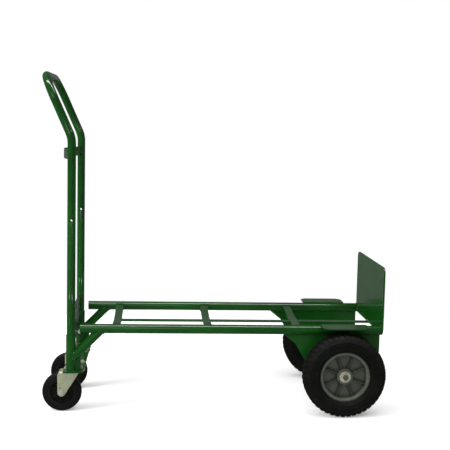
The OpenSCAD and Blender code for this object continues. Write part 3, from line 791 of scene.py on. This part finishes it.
def hex_nut(across, height, bore):
    """Nut from local Z = 0 up, with rounded corners and edges."""
    corner = across / math.sqrt(3)
    outline = rounded([(corner * math.cos(TAU * i / 6), corner * math.sin(TAU * i / 6)) for i in range(6)],
                      0.8 * MM)
    return placed(plate([outline, circle(0, 0, bore)], height, 0.7 * MM), at(0, 0, height / 2))


def caster_fasteners():
    """Carriage bolts through the caster plates, and their nuts."""
    low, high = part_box("caster_bolts")
    nut_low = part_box("caster_nuts")[0]
    nut_h = size("caster_nuts").z
    bolt_dx, bolt_dy = 22 * MM, 36 * MM
    head_h, thread_len, lap = 3 * MM, 10 * MM, 1 * MM
    shank_r, across, nut_bore_r = 4 * MM, 13 * MM, 3.9 * MM
    shank_top = high.z - low.z - thread_len + lap
    head = [(0, 0), (3.2 * MM, 0.25 * MM), (5.6 * MM, 1.0 * MM), (7.4 * MM, 2.0 * MM), (8 * MM, 2.7 * MM)]
    blank = head + [(7.9 * MM, head_h), (shank_r, head_h), (shank_r, shank_top), (0, shank_top)]
    thread = threaded(shank_r - 0.05 * MM, thread_len, 1.25 * MM, 0.8 * MM)
    bolts, nuts = [], []
    for side in (LEFT, RIGHT):
        for dx in (-bolt_dx, bolt_dx):
            for dy in (-bolt_dy, bolt_dy):
                x, y = KING_X + dx, side * KING_Y + dy
                bolts.append(placed(turned(blank, 32, solid=True), at(x, y, low.z)))
                bolts.append(placed(thread, at(x, y, high.z - thread_len)))
                turn = Matrix.Rotation(math.radians(17 + 900 * (x + y)), 4, "Z")  # as each was tightened
                nuts.append(placed(hex_nut(across, nut_h, nut_bore_r), at(x, y, nut_low.z, turn)))
    finished("carriage_bolts", bolts, "bright_zinc", "frame", ["caster_bolts"])
    finished("hex_nuts", nuts, "bright_zinc", "frame", ["caster_nuts"])


def split_pins():
    """Split pins bent from one wire each: an eye above the axle, two legs through it, and spread ends."""
    wire = 0.74 * MM
    low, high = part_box("cotter_pins")
    eye_r = 3.6 * MM
    pin_y = (high.y - low.y) / 2 - 3.5 * MM
    eye_z = high.z - eye_r - wire
    foot_z = WHEEL_R - 9.5 * MM
    leg = [Vector((5.6 * MM, 0, low.z + 1.4 * MM)), Vector((3.0 * MM, 0, low.z + 3.2 * MM)),
           Vector((1.1 * MM, 0, foot_z)), Vector((wire, 0, foot_z + 2 * MM)),
           Vector((wire, 0, eye_z - eye_r - 1.5 * MM))]
    other_leg = [Vector((-0.8 * p.x, 0, p.z)) for p in reversed(leg)]
    eye = []
    count = 14
    for k in range(count + 1):
        a = math.radians(-66 + 312 * k / count)
        eye.append(Vector((eye_r * math.cos(a), 0, eye_z + eye_r * math.sin(a))))
    path = leg + eye + other_leg
    parts = []
    for side in (LEFT, RIGHT):
        parts.append(placed(swept(path, wire, 12), at(AXLE_X, side * pin_y, 0)))
    finished("split_pins", parts, "bright_zinc", "frame", ["cotter_pins"])


# ---------- welds ----------

BEAD = 2.0 * MM  # radius of most beads
RIPPLE = 1.6 * MM  # length of one ripple
SWELL = 0.13  # how far a ripple swells and narrows the bead, as a share of its radius


def bead(points, radius=BEAD):
    """Weld bead along points, with a ripple for each stitch of the torch."""
    points = [Vector(p) for p in points]
    legs = [b - a for a, b in zip(points, points[1:])]
    length = sum(leg.length for leg in legs)
    steps = max(8, round(length / RIPPLE * 4))
    path, travelled, segment = [], 0.0, 0
    for i in range(steps + 1):
        target = length * i / steps
        while segment < len(legs) - 1 and travelled + legs[segment].length < target:
            travelled += legs[segment].length
            segment += 1
        leg = legs[segment]
        path.append(points[segment] + leg * min(1.0, (target - travelled) / max(leg.length, 1e-9)))

    def swell(share):
        return radius * (1 + SWELL * math.sin(TAU * share * length / RIPPLE))

    return swept(path, swell, 10)


def arc_points(centre, radius, start, stop, count, turn=Matrix.Identity(4)):
    """Points of an arc in the local X-Y plane, turned and moved to centre."""
    place = Matrix.Translation(centre) @ turn
    angles = [start + (stop - start) * i / count for i in range(count + 1)]
    return [place @ Vector((radius * math.cos(a), radius * math.sin(a), 0)) for a in angles]


def saddle(foot, direction, radius, axis_point, axis, target, count=40):
    """Curve where a round bar, from foot along direction, first meets a cylinder of radius target."""
    direction, axis = Vector(direction).normalized(), Vector(axis).normalized()
    u = axis.cross(direction).normalized()
    v = direction.cross(u)
    points = []
    d_flat = direction - direction.dot(axis) * axis
    aa = d_flat.dot(d_flat)
    for i in range(count + 1):
        a = TAU * i / count
        p = Vector(foot) + radius * (math.cos(a) * u + math.sin(a) * v) - Vector(axis_point)
        p_flat = p - p.dot(axis) * axis
        bb = 2 * p_flat.dot(d_flat)
        cc = p_flat.dot(p_flat) - target * target
        root = math.sqrt(max(bb * bb - 4 * aa * cc, 0))
        points.append(p + Vector(axis_point) + direction * (-bb - root) / (2 * aa))
    return points


def strap_beads():
    """Beads where the straps meet the rails, each other and the nose plate."""
    beads = []
    centre_low, centre_high = deck_box("centre_strap")
    for name in ("rear", "middle", "front"):
        low, high = deck_box(f"cross_strap_{name}")
        end_y = high.y - 0.8 * MM
        for z in (high.z - 0.4 * MM, high.z - STRAP_T - 1.2 * MM):
            beads += both_ways(bead([(low.x + 1.5 * MM, end_y, z), (high.x - 1.5 * MM, end_y, z)]))
        for x in (low.x, high.x):
            if x > centre_low.x + 5 * MM:
                ends = [(x, centre_low.y + 2 * MM, low.z), (x, centre_high.y - 2 * MM, low.z)]
                beads.append(bead(ends, 1.5 * MM))
    x, z = centre_high.x, centre_high.z
    beads.append(bead([(x, centre_low.y + 1 * MM, z), (x, centre_high.y - 1 * MM, z)]))
    return beads


def rail_beads():
    """Beads round the rails' front ends, along the brackets and along the fenders."""
    beads = []
    turn = Matrix.Rotation(-math.pi / 2, 4, "Y")
    ends = arc_points((RAIL_X1, RAIL_Y, RAIL_Z), RAIL_R, math.radians(-140), math.radians(140), 30, turn)
    beads += both_ways(bead(ends, 2.4 * MM))
    bracket_low, bracket_high = deck_box("axle_bracket_left")
    stitch = 32 * MM
    for i in range(4):
        x = bracket_low.x + (i + 0.5) * (bracket_high.x - bracket_low.x - stitch) / 4
        for y in (bracket_low.y, bracket_high.y):
            z = RAIL_Z - math.sqrt(RAIL_R ** 2 - (y - RAIL_Y) ** 2)
            beads += both_ways(bead([(x, y, z), (x + stitch, y, z)], 1.8 * MM))
    fender_low, fender_high = deck_box("fender_left")
    inset = 12 * MM
    y, z = fender_low.y, fender_low.z + 0.6 * MM
    for i in range(3):
        x = fender_low.x + inset + i * (fender_high.x - fender_low.x - 2 * inset - stitch) / 2
        beads += both_ways(bead([(x, y, z), (x + stitch, y, z)], 1.8 * MM))
    return beads


def leg_beads():
    """Beads at the sockets: their feet, the braces, the corner plates, the tie plate and the clamp bosses."""
    beads = []
    foot = (LEG_X, RAIL_Y, SOCKET_Z0)
    beads += both_ways(bead(arc_points(foot, SOCKET_R, 0, TAU, 60), 2.2 * MM))
    up = (0, 0, 1)
    along = (math.cos(BRACE_ANGLE), 0, math.sin(BRACE_ANGLE))
    back = tuple(-c for c in along)
    brace_foot = Vector((LEG_X, RAIL_Y, BRACE_FOOT_Z))
    far = brace_foot + Vector(along) * 150 * MM
    beads += both_ways(bead(saddle(far, back, BRACE_R, brace_foot, up, SOCKET_R)))
    beads += both_ways(bead(saddle(brace_foot, along, BRACE_R, (0, RAIL_Y, RAIL_Z), (1, 0, 0), RAIL_R)))
    gusset_low, gusset_high = deck_box("leg_gusset_left")
    under_brace = BRACE_FOOT_Z + (SOCKET_R * math.sin(BRACE_ANGLE) - BRACE_R) / math.cos(BRACE_ANGLE)
    for y in (gusset_low.y, gusset_high.y):
        x = LEG_X + math.sqrt(SOCKET_R ** 2 - (y - RAIL_Y) ** 2)
        beads += both_ways(bead([(x, y, gusset_low.z + 3 * MM), (x, y, under_brace)], 1.6 * MM))
    tie_low, tie_high = deck_box("leg_tie_plate")
    for x in (tie_low.x, tie_high.x):
        y = RAIL_Y - math.sqrt(SOCKET_R ** 2 - (x - LEG_X) ** 2)
        beads += both_ways(bead([(x, y, tie_low.z + 2 * MM), (x, y, SOCKET_Z1 - 2 * MM)], 1.6 * MM))
    boss = middle("clamp_screw_left", deck_box)
    boss_r = size("clamp_bosses").x / 2
    meeting = saddle((LEG_X, 0, boss.z), (0, 1, 0), boss_r, (LEG_X, RAIL_Y, 0), up, SOCKET_R, count=28)
    beads += both_ways(bead(meeting, 1.3 * MM))
    return beads


def handle_beads():
    """Beads where the handle's strap meets its legs."""
    low, high = deck_box("handle_strap")
    beads = []
    for x in (LEG_X + 0.6 * MM, LEG_X - 4.6 * MM):
        y = RAIL_Y - math.sqrt(HANDLE_R ** 2 - (x - LEG_X) ** 2)
        beads += both_ways(bead([(x, y, low.z + 1.5 * MM), (x, y, high.z - 1.5 * MM)], 1.6 * MM))
    return beads


# ---------- studio ----------

CAMERA_AT = Vector((-0.5814, -3.1572, 0.7722))  # from the axle, in the deck's own frame
CAMERA_YAW = math.radians(4.04)
CAMERA_PITCH = math.radians(6.125)
CAMERA_ROLL = math.radians(1.229)
LENS = 78.71
SENSOR = 36
FLOOR_R = 1.5
ROOM_LIGHT = 0.16  # the white room's strength, except as the camera sees it
WHITE = (1, 1, 1, 1)


def camera():
    """Camera at the photo's angle, set out in the deck's own frame."""
    level = Vector((math.sin(CAMERA_YAW), math.cos(CAMERA_YAW), 0))
    ahead = math.cos(CAMERA_PITCH) * level - math.sin(CAMERA_PITCH) * Vector((0, 0, 1))
    side = Vector((math.cos(CAMERA_YAW), -math.sin(CAMERA_YAW), 0))
    above = side.cross(ahead)
    tilted_side = math.cos(CAMERA_ROLL) * side + math.sin(CAMERA_ROLL) * above
    tilted_above = math.cos(CAMERA_ROLL) * above - math.sin(CAMERA_ROLL) * side
    data = bpy.data.cameras.new("camera")
    data.sensor_width, data.lens = SENSOR, LENS
    obj = bpy.data.objects.new("camera", data)
    turn = Matrix((tilted_side, tilted_above, -ahead)).transposed().to_4x4()
    obj.matrix_world = TILT @ Matrix.Translation(AXLE + CAMERA_AT) @ turn
    bpy.context.scene.collection.objects.link(obj)
    bpy.context.scene.camera = obj


def aim(obj, place, target):
    obj.location = place
    obj.rotation_euler = (Vector(target) - Vector(place)).to_track_quat("-Z", "Y").to_euler()
    bpy.context.scene.collection.objects.link(obj)
    return obj


def sun(place, target, width, strength):
    data = bpy.data.lights.new("sky", "SUN")
    data.angle, data.energy = width, strength
    aim(bpy.data.objects.new("sky", data), place, target).visible_glossy = False


def area_light(name, place, target, width, height, power):
    data = bpy.data.lights.new(name, "AREA")
    data.shape, data.size, data.size_y, data.energy = "RECTANGLE", width, height, power
    return aim(bpy.data.objects.new(name, data), place, target)


def studio():
    """Pale floor under a broad soft light, a long strip for the thin highlights, and a white room behind."""
    sun((-0.2, -1.1, 3.0), (0, 0, 0), math.radians(75), 2.4)
    area_light("strip", (0, -0.5, 3.0), (0, 0, 0.2), 4.0, 0.35, 110).visible_diffuse = False
    area_light("front", (-1.2, -3.2, 1.8), (0, 0, 0.4), 1.6, 1.0, 12)
    area_light("side", (-3.0, -1.2, 1.6), (0.5, 0, 0.3), 1.5, 1.5, 85).visible_glossy = False
    world = bpy.data.worlds.new("studio")
    world.use_nodes = True
    tree = world.node_tree
    background = tree.nodes["Background"]
    background.inputs["Color"].default_value = WHITE
    background.inputs["Strength"].default_value = 1.0
    room = tree.nodes.new("ShaderNodeBackground")
    room.inputs["Color"].default_value = WHITE
    room.inputs["Strength"].default_value = ROOM_LIGHT
    path = tree.nodes.new("ShaderNodeLightPath")
    mix = tree.nodes.new("ShaderNodeMixShader")
    tree.links.new(path.outputs["Is Camera Ray"], mix.inputs[0])
    tree.links.new(room.outputs[0], mix.inputs[1])
    tree.links.new(background.outputs[0], mix.inputs[2])
    tree.links.new(mix.outputs[0], tree.nodes["World Output"].inputs["Surface"])
    bpy.context.scene.world = world
    bpy.context.scene.view_settings.view_transform = "Standard"
    n = Nodes("floor")
    n.colour(n.mix(n.spread(n.noise(1.5, 3), 0.3, 0.7), (0.90, 0.90, 0.90, 1), (0.94, 0.94, 0.94, 1)))
    n.set(Roughness=0.9, Specular_IOR_Level=0.1, Emission_Color=WHITE, Emission_Strength=0.3)
    mesh = bpy.data.meshes.new("floor")
    mesh.from_pydata([p + Vector((0, 0, -0.2 * MM)) for p in ring(FLOOR_R, 0, 64)], [], [tuple(range(64))])
    mesh.materials.append(n.material)
    floor = bpy.data.objects.new("floor", mesh)
    bpy.context.scene.collection.objects.link(floor)
    floor.visible_glossy = False


# ---------- assembly ----------

dress_cad_nodes()
for side_name, side in SIDES.items():
    main_wheel(side_name, side)
    caster(side_name, side)
caster_fasteners()
split_pins()
frame_beads = strap_beads() + rail_beads() + leg_beads()
finished("frame_welds", [placed(part, TILT) for part in frame_beads], "green_paint", "frame")
finished("handle_welds", [placed(part, TILT) for part in handle_beads()], "green_paint", "handle")
camera()
studio()
